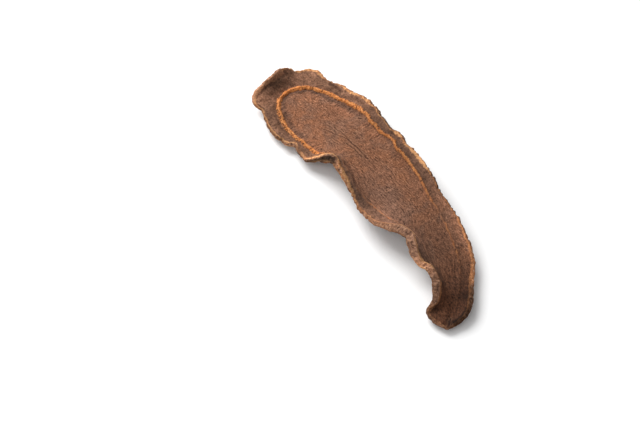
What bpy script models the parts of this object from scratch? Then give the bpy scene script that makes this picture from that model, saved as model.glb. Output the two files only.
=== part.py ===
"""A dried slice of chain fern rhizome, lying on its belly.

Metres, +Z up.  The slice runs along X, its narrow end towards +X, and its three low spots rest on z = 0.
It is one grown piece: the pith, the raised woody ring and the bark are one body, thin and shallow like a
dish, with a waved edge that curled up as it dried.
"""
import math

import bmesh
import bpy
from mathutils import Matrix, Vector, noise

MM = 0.001

# Sizes in millimetres
PITH_THICKNESS = 2.5
BARK_THICKNESS = 2.7
RING_THICKNESS = 3.9
RING_WIDTH = 2.4
RING_FADES_FROM = 5.0
RING_FADES_OVER = 55.0
RING_FADES_BY = 0.8
LEAST_BARK = 1.6
MOST_BARK_SHARE = 0.7

# The edge is thin where it lies flat and along the broad end, and thick where it curls up elsewhere
EDGE_THICKNESS_FLAT = 1.4
EDGE_THICKNESS_CURLED = 3.2
LEAST_EDGE_AT_BARK = 2.0
THICKENS_FROM_CURL = 2.6
FULL_CURL = 6.0
BROAD_END_FROM = -56.0
BROAD_END_OVER = 6.0

# The slice is clear of the floor but for its low spots, and arches up between its two ends
CLEARANCE = 0.85
BRIDGE_HEIGHT = 5.0
BRIDGE_TOP = 6.0
BRIDGE_HALF_LENGTH = 52.0

# How the dish curls: the share of the way out to the edge, raised to this power
CURL_POWER = 3.2

# Unevenness left by drying and by the knife
SWELL_HEIGHT = 0.35
SWELL_LENGTH = 13.0
SWELL_LAYER = 4.0
RAGGED_DEPTH = 0.45
RAGGED_LENGTH = 3.2

# The three low spots that carry the slice: x, y
LOW_SPOTS = ((-38.0, 10.0), (-42.0, -11.0), (60.5, -6.0))
LOW_SPOT_RADIUS = 5.5
WORN_FLAT = 0.3

# Mesh density
STATIONS_PER_SIDE = 96
PITH_ROWS = 5
BARK_ROWS = 3
CURVE_STEPS = 24
MERGE_DISTANCE = 0.05

# The block that wears the low spots flat, in metres: length, width, depth
CUTTER_SIZE = (0.2, 0.1, 0.02)

# The middle line, from the broad end to the narrow one: x, y
SPINE = ((-55.0, 0.0), (-38.0, -1.5), (-18.0, 2.5), (8.0, 3.5), (34.0, 5.0), (47.0, 3.0), (60.0, -5.0))

# The edge, in millimetres: x, y, how far it curls up, and how far in from it the ring's crest lies.
# First the side with the plainer edge, from the tip of the narrow end to the middle of the broad end.
PLAIN_SIDE = (
    (67.2, -8.5, 1.2, 6.9),
    (67.0, -5.5, 2.0, 6.3),
    (66.2, -2.8, 2.8, 5.9),
    (64.5, -0.5, 3.4, 5.8),
    (61.8, 1.8, 3.6, 5.7),
    (58.7, 4.0, 3.2, 5.2),
    (54.8, 7.0, 2.8, 4.8),
    (50.5, 10.3, 2.6, 5.1),
    (45.2, 13.2, 2.6, 5.3),
    (38.7, 15.2, 2.7, 5.2),
    (31.0, 16.5, 2.6, 5.2),
    (24.3, 16.8, 2.6, 4.5),
    (18.2, 17.0, 2.6, 4.2),
    (12.0, 18.0, 2.8, 4.3),
    (5.5, 18.6, 2.9, 4.2),
    (-1.5, 18.9, 3.1, 3.9),
    (-8.0, 18.4, 3.4, 3.3),
    (-14.2, 19.2, 3.8, 3.2),
    (-17.6, 17.9, 3.9, 2.9),
    (-24.0, 18.1, 4.1, 3.3),
    (-29.5, 19.1, 4.2, 3.7),
    (-35.5, 19.3, 4.2, 3.7),
    (-41.0, 18.5, 3.8, 4.2),
    (-45.0, 16.6, 3.4, 4.9),
    (-49.0, 15.4, 3.0, 5.7),
    (-52.5, 13.6, 2.6, 5.8),
    (-56.0, 12.0, 2.2, 6.6),
    (-61.8, 11.7, 1.8, 9.1),
    (-64.8, 8.7, 1.6, 9.7),
    (-65.8, 4.6, 2.0, 9.1),
    (-67.2, 1.2, 3.8, 8.8),
)
# Then the side with the three arches, from the broad end back to the tip
ARCHED_SIDE = (
    (-66.8, -2.6, 6.2, 8.3),
    (-65.2, -6.6, 6.3, 7.6),
    (-63.9, -10.6, 6.2, 7.9),
    (-62.6, -14.0, 5.8, 9.3),
    (-61.2, -17.3, 4.2, 10.6),
    (-59.5, -18.6, 2.4, 10.4),
    (-57.2, -18.0, 1.4, 8.9),
    (-55.0, -17.3, 1.1, 7.0),
    (-51.0, -18.2, 1.1, 6.3),
    (-45.4, -19.2, 1.1, 6.0),
    (-39.2, -18.8, 1.1, 5.6),
    (-35.0, -17.8, 1.2, 4.5),
    (-33.0, -15.6, 1.2, 2.9),
    (-28.0, -16.2, 0.8, 4.1),
    (-23.5, -15.5, 0.3, 4.6),
    (-20.8, -13.3, 1.8, 2.7),
    (-17.8, -11.0, 4.2, 1.8),
    (-14.6, -9.4, 4.9, 1.8),
    (-9.6, -9.8, 3.4, 1.8),
    (-4.6, -10.2, 1.4, 2.0),
    (0.0, -10.6, 0.4, 2.2),
    (5.0, -11.5, 0.1, 3.1),
    (9.6, -12.3, 0.5, 4.3),
    (14.7, -12.1, 1.6, 4.9),
    (19.5, -10.9, 3.2, 5.4),
    (23.4, -8.6, 4.8, 4.8),
    (27.0, -6.3, 6.3, 3.6),
    (31.0, -5.3, 7.4, 3.0),
    (35.2, -6.2, 7.4, 3.6),
    (38.6, -6.9, 5.8, 4.0),
    (41.3, -6.4, 4.2, 3.8),
    (44.2, -4.9, 4.4, 2.8),
    (48.4, -5.1, 5.2, 2.2),
    (52.6, -6.8, 5.8, 2.0),
    (55.6, -8.8, 5.2, 1.9),
    (57.0, -11.0, 3.6, 2.2),
    (57.4, -12.9, 2.2, 3.0),
    (58.9, -14.0, 1.3, 3.6),
    (61.4, -13.9, 0.9, 3.8),
    (64.2, -12.8, 0.6, 4.6),
    (67.0, -11.5, 0.6, 6.4),
)
EDGE = PLAIN_SIDE + ARCHED_SIDE

# The cut face's colour, linear, with its roughness
FLESH_COLOUR = (0.19, 0.082, 0.042, 1.0)
FLESH_ROUGHNESS = 0.82


def clear_scene():
    """Remove whatever the file holds."""
    for thing in list(bpy.data.objects):
        bpy.data.objects.remove(thing, do_unlink=True)


def new_collection(name):
    """Make a collection in the scene."""
    collection = bpy.data.collections.new(name)
    bpy.context.scene.collection.children.link(collection)
    return collection


def flesh_material():
    """The dull red-brown of the dried cut face."""
    material = bpy.data.materials.new("dried_rhizome")
    material.use_nodes = True
    shader = material.node_tree.nodes["Principled BSDF"]
    shader.inputs["Base Color"].default_value = FLESH_COLOUR
    shader.inputs["Roughness"].default_value = FLESH_ROUGHNESS
    shader.inputs["Metallic"].default_value = 0.0
    return material


def along_edge(place):
    """A point of the smooth closed edge, where place counts the edge's control points."""
    first = math.floor(place)
    t = place - first
    before, start, end, after = (Vector(EDGE[(first + k) % len(EDGE)]) for k in (-1, 0, 1, 2))
    return 0.5 * (
        2.0 * start
        + (end - before) * t
        + (2.0 * before - 5.0 * start + 4.0 * end - after) * t ** 2
        + (3.0 * start - before - 3.0 * end + after) * t ** 3
    )


def evenly_spaced(first, last, count):
    """Points of the edge at equal steps from one control point to another, without the last one."""
    steps = count * CURVE_STEPS
    fine = [along_edge(first + (last - first) * k / steps) for k in range(steps + 1)]
    run = [0.0]
    for start, end in zip(fine, fine[1:]):
        run.append(run[-1] + (end.xy - start.xy).length)
    points = []
    k = 0
    for station in range(count):
        goal = run[-1] * station / count
        while run[k + 1] < goal:
            k += 1
        points.append(fine[k].lerp(fine[k + 1], (goal - run[k]) / (run[k + 1] - run[k])))
    return points


def ragged(point):
    """How far drying and splitting moved a point of the edge, in millimetres."""
    spot = Vector((point.x, point.y, 0.0)) / RAGGED_LENGTH
    return RAGGED_DEPTH * noise.noise(spot)


def spine_place(x):
    """The point of the slice's middle line at x, or its end where x is past it."""
    x = min(max(x, SPINE[0][0]), SPINE[-1][0])
    for (x0, y0), (x1, y1) in zip(SPINE, SPINE[1:]):
        if x <= x1:
            return Vector((x, y0 + (y1 - y0) * (x - x0) / (x1 - x0)))
    return Vector(SPINE[-1])


def bridge(x):
    """How far the slice is arched clear of the floor at x."""
    t = (x - BRIDGE_TOP) / BRIDGE_HALF_LENGTH
    if abs(t) >= 1.0:
        return 0.0
    return BRIDGE_HEIGHT * math.cos(0.5 * math.pi * t) ** 2


def height(x, y, curl):
    """The height of the middle of the slice's thickness."""
    z = 0.5 * PITH_THICKNESS + CLEARANCE + bridge(x) + curl
    z += SWELL_HEIGHT * noise.noise(Vector((x, y, SWELL_LAYER)) / SWELL_LENGTH)
    resting = 0.5 * PITH_THICKNESS - WORN_FLAT
    for spot_x, spot_y in LOW_SPOTS:
        away = math.hypot(x - spot_x, y - spot_y) / LOW_SPOT_RADIUS
        z += (resting - z) * math.exp(-away * away)
    return z


def clamped(value):
    """The value, or the nearer of 0 and 1 where it is outside them."""
    return min(max(value, 0.0), 1.0)


def ring_strength(x):
    """How much of the ring still stands proud: it fades towards the narrow end."""
    return 1.0 - RING_FADES_BY * clamped((x - RING_FADES_FROM) / RING_FADES_OVER)


def edge_thickness(x, curl):
    """The thickness of the edge, for how far it curls up and where it is."""
    share = clamped((curl - THICKENS_FROM_CURL) / (FULL_CURL - THICKENS_FROM_CURL))
    share *= 1.0 - clamped((BROAD_END_FROM - x) / BROAD_END_OVER)
    return EDGE_THICKNESS_FLAT + (EDGE_THICKNESS_CURLED - EDGE_THICKNESS_FLAT) * share


def row_shares(reach, bark):
    """Where the rows lie from the middle line, 0, to the edge, 1, with the thickness rule of each."""
    crest = 1.0 - min(max(bark, LEAST_BARK) / reach, MOST_BARK_SHARE)
    foot = 0.5 * RING_WIDTH / reach
    rows = [((crest - foot) * k / PITH_ROWS, "pith") for k in range(PITH_ROWS + 1)]
    rows.append((crest, "ring"))
    outer = crest + foot
    rows += [(outer + (1.0 - outer) * k / BARK_ROWS, "bark") for k in range(BARK_ROWS)]
    rows.append((1.0, "edge"))
    return rows


def thicknesses(x, edge):
    """The slice's thickness at each kind of row, where the edge's own is given."""
    return {
        "pith": PITH_THICKNESS,
        "ring": PITH_THICKNESS + (RING_THICKNESS - PITH_THICKNESS) * ring_strength(x),
        "bark": 0.5 * (BARK_THICKNESS + max(edge, LEAST_EDGE_AT_BARK)),
        "edge": edge,
    }


def lay_out():
    """For each station round the edge, the place and thickness of each of its rows, in millimetres."""
    turn = len(PLAIN_SIDE)
    rim = evenly_spaced(0, turn, STATIONS_PER_SIDE) + evenly_spaced(turn, len(EDGE), STATIONS_PER_SIDE)
    count = len(rim)
    stations = []
    for k, edge in enumerate(rim):
        middle = spine_place(0.5 * (edge.x + rim[-k % count].x))
        outward = edge.xy - middle
        reach = outward.length + ragged(edge)
        outward.normalize()
        station = []
        thick_edge = edge_thickness(edge.x, edge.z)
        for share, kind in row_shares(reach, edge.w):
            x, y = middle + outward * (reach * share)
            z = height(x, y, edge.z * share ** CURL_POWER)
            station.append((Vector((x, y, z)), thicknesses(x, thick_edge)[kind]))
        stations.append(station)
    return stations


def middle_sheet():
    """The open sheet halfway through the slice, with the thickness of each vertex as a weight."""
    stations = lay_out()
    rows = len(stations[0]) - 1
    mesh = bpy.data.meshes.new("rhizome_slice")
    bm = bmesh.new()
    bmesh.ops.create_grid(bm, x_segments=len(stations), y_segments=rows, size=0.5)
    weights = bm.verts.layers.deform.verify()
    for vert in bm.verts:
        station = round((vert.co.x + 0.5) * len(stations)) % len(stations)
        row = round((vert.co.y + 0.5) * rows)
        place, thick = stations[station][row]
        vert.co = place * MM
        vert[weights][0] = thick / RING_THICKNESS
    bmesh.ops.remove_doubles(bm, verts=bm.verts, dist=MERGE_DISTANCE * MM)
    bmesh.ops.recalc_face_normals(bm, faces=bm.faces)
    bm.to_mesh(mesh)
    bm.free()
    return mesh


def rhizome_slice(collection):
    """The slice: the middle sheet given its thickness both ways."""
    piece = bpy.data.objects.new("rhizome_slice", middle_sheet())
    piece.vertex_groups.new(name="thickness")
    piece.data.materials.append(flesh_material())
    piece.data.shade_smooth()
    collection.objects.link(piece)
    shell = piece.modifiers.new("thickness", "SOLIDIFY")
    shell.thickness = RING_THICKNESS * MM
    shell.offset = 0.0
    shell.vertex_group = "thickness"
    return piece


def floor_cutter(collection):
    """A block whose top is the floor, which takes off what would reach below it."""
    bpy.ops.mesh.primitive_cube_add(size=1.0, location=(0.0, 0.0, -0.5 * CUTTER_SIZE[2]))
    block = bpy.context.active_object
    block.name = "floor_cutter"
    block.scale = CUTTER_SIZE
    block.hide_render = True
    block.display_type = "WIRE"
    for owner in list(block.users_collection):
        owner.objects.unlink(block)
    collection.objects.link(block)
    return block


def rest_on_floor(piece, cutter):
    """Wear the low spots flat, so that the slice rests on three small flats."""
    cut = piece.modifiers.new("worn flats", "BOOLEAN")
    cut.operation = "DIFFERENCE"
    cut.solver = "EXACT"
    cut.object = cutter


def centre_on_origin(piece):
    """Move the slice so that the middle of its outer box is over the origin."""
    bpy.context.view_layer.update()
    finished = piece.evaluated_get(bpy.context.evaluated_depsgraph_get())
    corners = [Vector(corner) for corner in finished.bound_box]
    middle_x = 0.5 * (min(c.x for c in corners) + max(c.x for c in corners))
    middle_y = 0.5 * (min(c.y for c in corners) + max(c.y for c in corners))
    piece.data.transform(Matrix.Translation((-middle_x, -middle_y, 0.0)))


def main():
    """Build the slice."""
    clear_scene()
    piece = rhizome_slice(new_collection("chain_fern_rhizome_slice"))
    rest_on_floor(piece, floor_cutter(new_collection("cutters")))
    centre_on_origin(piece)


main()
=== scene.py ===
"""A dried slice of chain fern rhizome, dressed for its portrait.

The slice is one grown piece.  Its skin is laid out by the same rules as its solid, only much finer, and then
given the relief and colour of its fibres, its woody ring, its bark, its cut edge and its drying cracks.
Lengths are in millimetres up to the moment a mesh is filled, which is in metres.  The narrow end points to
+X, and the slice rests on z = 0.
"""

import logging
import math
from dataclasses import dataclass, field
from enum import Enum

import bpy
import numpy as np
from mathutils import Matrix, Vector, noise


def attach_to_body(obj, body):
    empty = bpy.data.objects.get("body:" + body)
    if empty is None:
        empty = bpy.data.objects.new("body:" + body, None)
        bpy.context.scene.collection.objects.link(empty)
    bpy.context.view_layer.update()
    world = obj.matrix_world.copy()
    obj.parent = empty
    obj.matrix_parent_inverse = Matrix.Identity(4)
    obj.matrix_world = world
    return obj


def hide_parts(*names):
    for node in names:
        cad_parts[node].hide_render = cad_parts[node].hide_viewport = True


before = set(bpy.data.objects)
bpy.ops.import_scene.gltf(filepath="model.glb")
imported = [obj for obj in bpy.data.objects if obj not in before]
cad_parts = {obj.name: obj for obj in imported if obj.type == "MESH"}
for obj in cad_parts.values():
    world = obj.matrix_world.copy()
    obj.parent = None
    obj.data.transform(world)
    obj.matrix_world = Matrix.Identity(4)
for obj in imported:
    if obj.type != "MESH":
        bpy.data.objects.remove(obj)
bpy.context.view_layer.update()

log = logging.getLogger("rhizome_slice")

MM = 0.001
NODE = "rhizome_slice"
BODY = "root"

Triple = tuple[float, float, float]
Colour = Triple
Pair = tuple[float, float]
Point = Pair
Numbers = dict[str, np.ndarray]
EdgePoint = tuple[float, float, float, float]


class Layer(Enum):
    """Unlike patterns of the same kind of unevenness, by how far apart they are read."""

    FIRST = 0.0
    DENT = 1.0
    CREASE_X = 2.0
    BARK_WRINKLE = 3.0
    SWIRL = 5.0
    BARK_CRUMB = 6.0
    RING_LUMP = 8.0
    CREASE_Y = 9.0
    LIP = 11.0
    FRAY = 13.0
    NICK = 17.0
    WALL_RIB = 21.0
    WALL_CRUMB = 27.0
    BLOTCH = 31.0
    RING_SIDE = 37.0


def spread(low: float, high: float, value: np.ndarray) -> np.ndarray:
    """Rise smoothly from 0 where value is low to 1 where it is high."""
    t = np.clip((value - low) / (high - low), 0.0, 1.0)
    return t * t * (3.0 - 2.0 * t)


def plateau(value: np.ndarray, start: float, full: float, fades: float, end: float) -> np.ndarray:
    """Rise smoothly from start to full, stay at 1, and fall again from fades to end."""
    return spread(start, full, value) * spread(end, fades, value)


def hump(value: np.ndarray, width: float) -> np.ndarray:
    """A smooth bump of height 1 at value 0."""
    return np.exp(-(value / width) ** 2)


def wander(places: np.ndarray, length: float, layer: Layer = Layer.FIRST) -> np.ndarray:
    """Smooth unevenness from about -1 to 1 at each place, with its swells about a length apart."""
    spots = places.reshape(-1, 3) / length + (0.0, 0.0, layer.value)
    return np.array([noise.noise(spot) for spot in spots.tolist()]).reshape(places.shape[:-1])


def unit(vectors: np.ndarray) -> np.ndarray:
    """The same directions at length 1."""
    return vectors / np.maximum(np.linalg.norm(vectors, axis=-1, keepdims=True), 1e-9)


class Side(Enum):
    """The two cut faces, by the way each one faces."""

    UPPER = 1.0
    UNDER = -1.0


@dataclass(frozen=True)
class Crease:
    """A drying crack or a fold, as a line on the slice seen from above.

    Its width is the distance at which its depth has fallen to about a third, and its painted shade is how
    dark the line of painted shade along it is drawn.
    """

    path: tuple[Point, ...]
    depth: float
    width: float
    side: Side = Side.UPPER
    painted_shade: float = 1.0

    def away(self, flat: np.ndarray) -> np.ndarray:
        """How far each point lies from the line.

        Args:
            flat: Points seen from above.

        Returns:
            The distances.
        """
        line = np.array(self.path)
        nearest = np.full(flat.shape[:-1], np.inf)
        for start, end in zip(line, line[1:]):
            run = end - start
            t = np.clip(((flat - start) @ run) / (run @ run), 0.0, 1.0)
            nearest = np.minimum(nearest, np.linalg.norm(flat - start - t[..., None] * run, axis=-1))
        return nearest


@dataclass(frozen=True)
class Patch:
    """A soft patch where the upper face's colour is made lighter or darker than round about: some are the
    flesh's own tone, some painted shade, some painted light.
    """

    place: Point
    reach: Point
    factor: float
    turn: float = 0.0

    def share(self, x: np.ndarray, y: np.ndarray) -> np.ndarray:
        """How strong the patch is.

        Args:
            x: Place along the slice.
            y: Place across it.

        Returns:
            A value from 0 to 1 for each point.
        """
        turn = math.radians(self.turn)
        away_x, away_y = x - self.place[0], y - self.place[1]
        along = away_x * math.cos(turn) + away_y * math.sin(turn)
        across = away_y * math.cos(turn) - away_x * math.sin(turn)
        return hump(along, self.reach[0]) * hump(across, self.reach[1])


@dataclass(frozen=True)
class BothSides:
    """A value that changes along the slice, on the side with the plainer edge and on the arched one."""

    plain: tuple[Point, ...]
    arched: tuple[Point, ...]


# The middle line, from the broad end to the narrow one: x, y
SPINE: tuple[Point, ...] = (
    (-55.0, 0.0), (-38.0, -1.5), (-18.0, 2.5), (8.0, 3.5), (34.0, 5.0), (47.0, 3.0), (60.0, -5.0),
)

# The edge: x, y, how far it curls up, and how far in from it the ring's crest lies.
# First the side with the plainer edge, from the tip of the narrow end to the middle of the broad end.
PLAIN_SIDE: tuple[EdgePoint, ...] = (
    (67.2, -8.5, 1.2, 6.9), (67.0, -5.5, 2.0, 6.3), (66.2, -2.8, 2.8, 5.9), (64.5, -0.5, 3.4, 5.8),
    (61.8, 1.8, 3.6, 5.7), (58.7, 4.0, 3.2, 5.2), (54.8, 7.0, 2.8, 4.8), (50.5, 10.3, 2.6, 5.1),
    (45.2, 13.2, 2.6, 5.3), (38.7, 15.2, 2.7, 5.2), (31.0, 16.5, 2.6, 5.2), (24.3, 16.8, 2.6, 4.5),
    (18.2, 17.0, 2.6, 4.2), (12.0, 18.0, 2.8, 4.3), (5.5, 18.6, 2.9, 4.2), (-1.5, 18.9, 3.1, 3.9),
    (-8.0, 18.4, 3.4, 3.3), (-14.2, 19.2, 3.8, 3.2), (-17.6, 17.9, 3.9, 2.9), (-24.0, 18.1, 4.1, 3.3),
    (-29.5, 19.1, 4.2, 3.7), (-35.5, 19.3, 4.2, 3.7), (-41.0, 18.5, 3.8, 4.2), (-45.0, 16.6, 3.4, 4.9),
    (-49.0, 15.4, 3.0, 5.7), (-52.5, 13.6, 2.6, 5.8), (-56.0, 12.0, 2.2, 6.6), (-61.8, 11.7, 1.8, 9.1),
    (-64.8, 8.7, 1.6, 9.7), (-65.8, 4.6, 2.0, 9.1), (-67.2, 1.2, 3.8, 8.8),
)
# Then the side with the three arches, from the broad end back to the tip
ARCHED_SIDE: tuple[EdgePoint, ...] = (
    (-66.8, -2.6, 6.2, 8.3), (-65.2, -6.6, 6.3, 7.6), (-63.9, -10.6, 6.2, 7.9), (-62.6, -14.0, 5.8, 9.3),
    (-61.2, -17.3, 4.2, 10.6), (-59.5, -18.6, 2.4, 10.4), (-57.2, -18.0, 1.4, 8.9), (-55.0, -17.3, 1.1, 7.0),
    (-51.0, -18.2, 1.1, 6.3), (-45.4, -19.2, 1.1, 6.0), (-39.2, -18.8, 1.1, 5.6), (-35.0, -17.8, 1.2, 4.5),
    (-33.0, -15.6, 1.2, 2.9), (-28.0, -16.2, 0.8, 4.1), (-23.5, -15.5, 0.3, 4.6), (-20.8, -13.3, 1.8, 2.7),
    (-17.8, -11.0, 4.2, 1.8), (-14.6, -9.4, 4.9, 1.8), (-9.6, -9.8, 3.4, 1.8), (-4.6, -10.2, 1.4, 2.0),
    (0.0, -10.6, 0.4, 2.2), (5.0, -11.5, 0.1, 3.1), (9.6, -12.3, 0.5, 4.3), (14.7, -12.1, 1.6, 4.9),
    (19.5, -10.9, 3.2, 5.4), (23.4, -8.6, 4.8, 4.8), (27.0, -6.3, 6.3, 3.6), (31.0, -5.3, 7.4, 3.0),
    (35.2, -6.2, 7.4, 3.6), (38.6, -6.9, 5.8, 4.0), (41.3, -6.4, 4.2, 3.8), (44.2, -4.9, 4.4, 2.8),
    (48.4, -5.1, 5.2, 2.2), (52.6, -6.8, 5.8, 2.0), (55.6, -8.8, 5.2, 1.9), (57.0, -11.0, 3.6, 2.2),
    (57.4, -12.9, 2.2, 3.0), (58.9, -14.0, 1.3, 3.6), (61.4, -13.9, 0.9, 3.8), (64.2, -12.8, 0.6, 4.6),
    (67.0, -11.5, 0.6, 6.4),
)

# How plainly the ring shows: x, strength
RING_STRENGTH = BothSides(
    plain=(
        (-70.0, 1.7), (-56.0, 1.6), (-49.0, 1.25), (-34.0, 0.95), (-12.0, 0.74), (4.0, 0.6), (12.0, 0.46),
        (18.0, 0.38), (23.0, 0.2), (40.0, 0.2), (50.0, 0.1), (58.0, 0.0),
    ),
    arched=(
        (-70.0, 1.7), (-56.0, 1.6), (-50.0, 1.35), (-34.0, 1.3), (-24.0, 1.1), (-19.0, 0.6), (-14.0, 0.2),
        (-4.0, 0.05), (6.0, 0.15), (14.0, 0.36), (24.0, 0.34), (29.0, 0.3), (34.0, 0.1), (40.0, 0.0),
    ),
)

# How wide the bright lip of the upper face is: x, width
LIP_WIDTH = BothSides(
    plain=(
        (-67.0, 0.4), (-65.0, 0.7), (-61.0, 1.1), (-56.0, 0.2), (-51.0, 0.2), (-45.0, 1.1), (-41.0, 0.6),
        (-36.0, 0.7), (-29.0, 0.4), (-25.0, 0.1), (-18.0, 0.1), (-14.0, 1.1), (-9.0, 0.5), (-5.0, 0.6),
        (0.0, 0.85), (4.0, 0.9), (7.0, 0.7), (11.0, 0.2), (22.0, 0.1), (31.0, 0.5), (42.0, 0.6),
        (50.0, 0.5), (56.0, 0.7), (59.0, 0.2), (64.0, 0.1), (68.0, 0.0),
    ),
    arched=(
        (-67.0, 1.4), (-64.5, 1.2), (-62.5, 0.7), (-60.5, 0.9), (-58.0, 0.5), (-54.0, 0.4), (-47.0, 0.4),
        (-40.0, 0.2), (-35.0, 0.6), (-31.0, 0.4), (-26.0, 0.7), (-22.0, 1.0), (-18.0, 1.2), (-14.0, 0.5),
        (-7.0, 0.7), (0.0, 0.75), (5.0, 0.5), (12.0, 0.45), (20.0, 0.5), (28.0, 0.5), (36.0, 0.6),
        (42.0, 1.3), (46.0, 0.8), (51.0, 0.4), (57.0, 0.3), (63.0, 0.2), (68.0, 0.2),
    ),
)

# Painted shade and painted light on the edge's wall and rim: x, factor
RIM_PAINTED_LIGHT_AND_SHADE = BothSides(
    plain=(
        (-67.0, 1.0), (-50.0, 1.0), (-32.0, 0.9), (-27.0, 0.42), (-20.0, 0.42), (-15.0, 0.9), (-8.0, 0.72),
        (0.0, 1.4), (5.0, 1.3), (9.0, 0.45), (25.0, 0.45), (32.0, 0.8), (45.0, 1.2), (55.5, 1.5),
        (58.0, 0.45), (63.0, 0.45), (66.0, 0.28), (68.0, 0.2),
    ),
    arched=(
        (-67.0, 0.8), (-61.0, 1.4), (-56.0, 0.7), (-44.0, 0.62), (-37.5, 0.55), (-34.5, 1.2), (-32.0, 0.8),
        (-29.0, 0.45), (-25.0, 1.0), (-22.0, 0.6), (-19.0, 0.3), (-13.5, 0.25), (-11.0, 1.25), (-6.0, 1.0),
        (0.0, 0.8), (10.0, 0.9), (20.0, 1.0), (30.0, 0.84), (35.0, 0.92), (38.0, 1.0), (40.5, 2.0),
        (43.0, 1.7), (45.0, 1.0), (50.0, 0.7), (55.0, 0.66), (58.0, 0.42), (62.0, 0.6), (66.0, 0.7),
        (68.0, 0.4),
    ),
)

# Where the ring and the lip are made brighter on the arched side, partly as painted highlight: x, reach, by
# how much
GLOW_ON_ARCHED_SIDE: tuple[Triple, ...] = (
    (-18.0, 5.0, 0.2), (-3.0, 7.0, 0.2), (34.0, 9.0, 0.1), (42.5, 3.5, 0.22),
)

# How much darker or lighter the colour is made along the slice, partly the flesh's own tone and partly
# painted shade: x, factor
DARKENING: tuple[Point, ...] = (
    (-50.0, 1.1), (-20.0, 1.0), (-2.0, 0.88), (9.0, 0.92), (18.0, 1.08), (28.0, 0.92), (38.0, 0.8),
    (50.0, 0.8), (57.0, 0.84), (66.0, 0.8),
)

# Place, reach, factor and, where it isn't level, turn. Some patches are the flesh's own tone. Some are
# painted shade under the turned-up strip, in the arches' valley and at the tip. Some are painted light on the
# tongue and at the arches' feet
PATCHES = tuple(Patch(*row) for row in (
    ((-59.1, -15.9), (2.2, 2.6), 2.7, 18.0), ((-62.4, -7.6), (2.6, 6.8), 0.5, 18.0),
    ((-57.4, -9.6), (2.0, 5.0), 1.28), ((-58.8, 10.4), (2.4, 1.6), 0.62), ((-54.5, 7.5), (4.0, 2.0), 1.25),
    ((-59.0, -3.6), (2.4, 8.0), 1.6), ((-61.4, 6.8), (2.4, 4.0), 1.55), ((-51.5, -16.8), (4.0, 1.6), 0.52),
    ((-50.5, 12.1), (4.5, 1.4), 0.55), ((-42.0, 10.5), (7.0, 4.5), 1.35), ((-25.0, 15.6), (4.0, 1.8), 0.7),
    ((-29.4, -16.0), (2.6, 1.2), 0.5), ((-23.0, -12.0), (6.5, 2.4), 1.5), ((-7.5, -8.6), (3.0, 1.2), 0.75),
    ((-19.0, -10.8), (3.6, 1.1), 1.5), ((-21.0, 1.6), (6.0, 2.4), 0.9), ((-27.0, -5.0), (4.5, 4.0), 1.14),
    ((-21.0, 7.0), (10.0, 7.0), 0.84), ((3.0, -10.2), (8.5, 2.2), 0.56), ((1.0, -6.0), (6.0, 2.6), 0.85),
    ((6.0, 4.4), (7.0, 3.2), 1.13), ((12.0, -1.8), (8.5, 4.2), 1.35), ((18.0, -7.0), (6.5, 2.4), 1.9),
    ((14.0, -9.6), (4.0, 1.4), 1.35), ((22.4, -5.4), (3.4, 1.8), 1.5), ((14.5, 15.4), (7.0, 1.8), 0.92),
    ((-4.0, 13.0), (7.0, 2.0), 0.78), ((21.5, 8.4), (7.5, 4.0), 0.8), ((42.5, 5.0), (6.0, 4.6), 0.77),
    ((38.8, -5.6), (2.8, 1.5), 0.44), ((41.5, 11.0), (5.0, 2.0), 0.82), ((48.4, -4.4), (4.5, 1.4), 0.65),
    ((42.5, -2.6), (4.0, 1.6), 0.75), ((58.4, -11.0), (2.4, 2.6), 0.54), ((60.2, 1.0), (2.6, 1.4), 0.4),
    ((66.0, -8.8), (2.2, 2.0), 0.34), ((-38.2, -17.8), (2.6, 1.2), 0.6),
    ((55.5, -6.8), (6.0, 2.2), 1.6, -30.0), ((57.5, 1.0), (10.0, 4.6), 0.56, -48.0),
))

# Cracks and folds: path, depth, width, the face where it isn't the upper one, and how dark a line of painted
# shade is drawn in it
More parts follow.
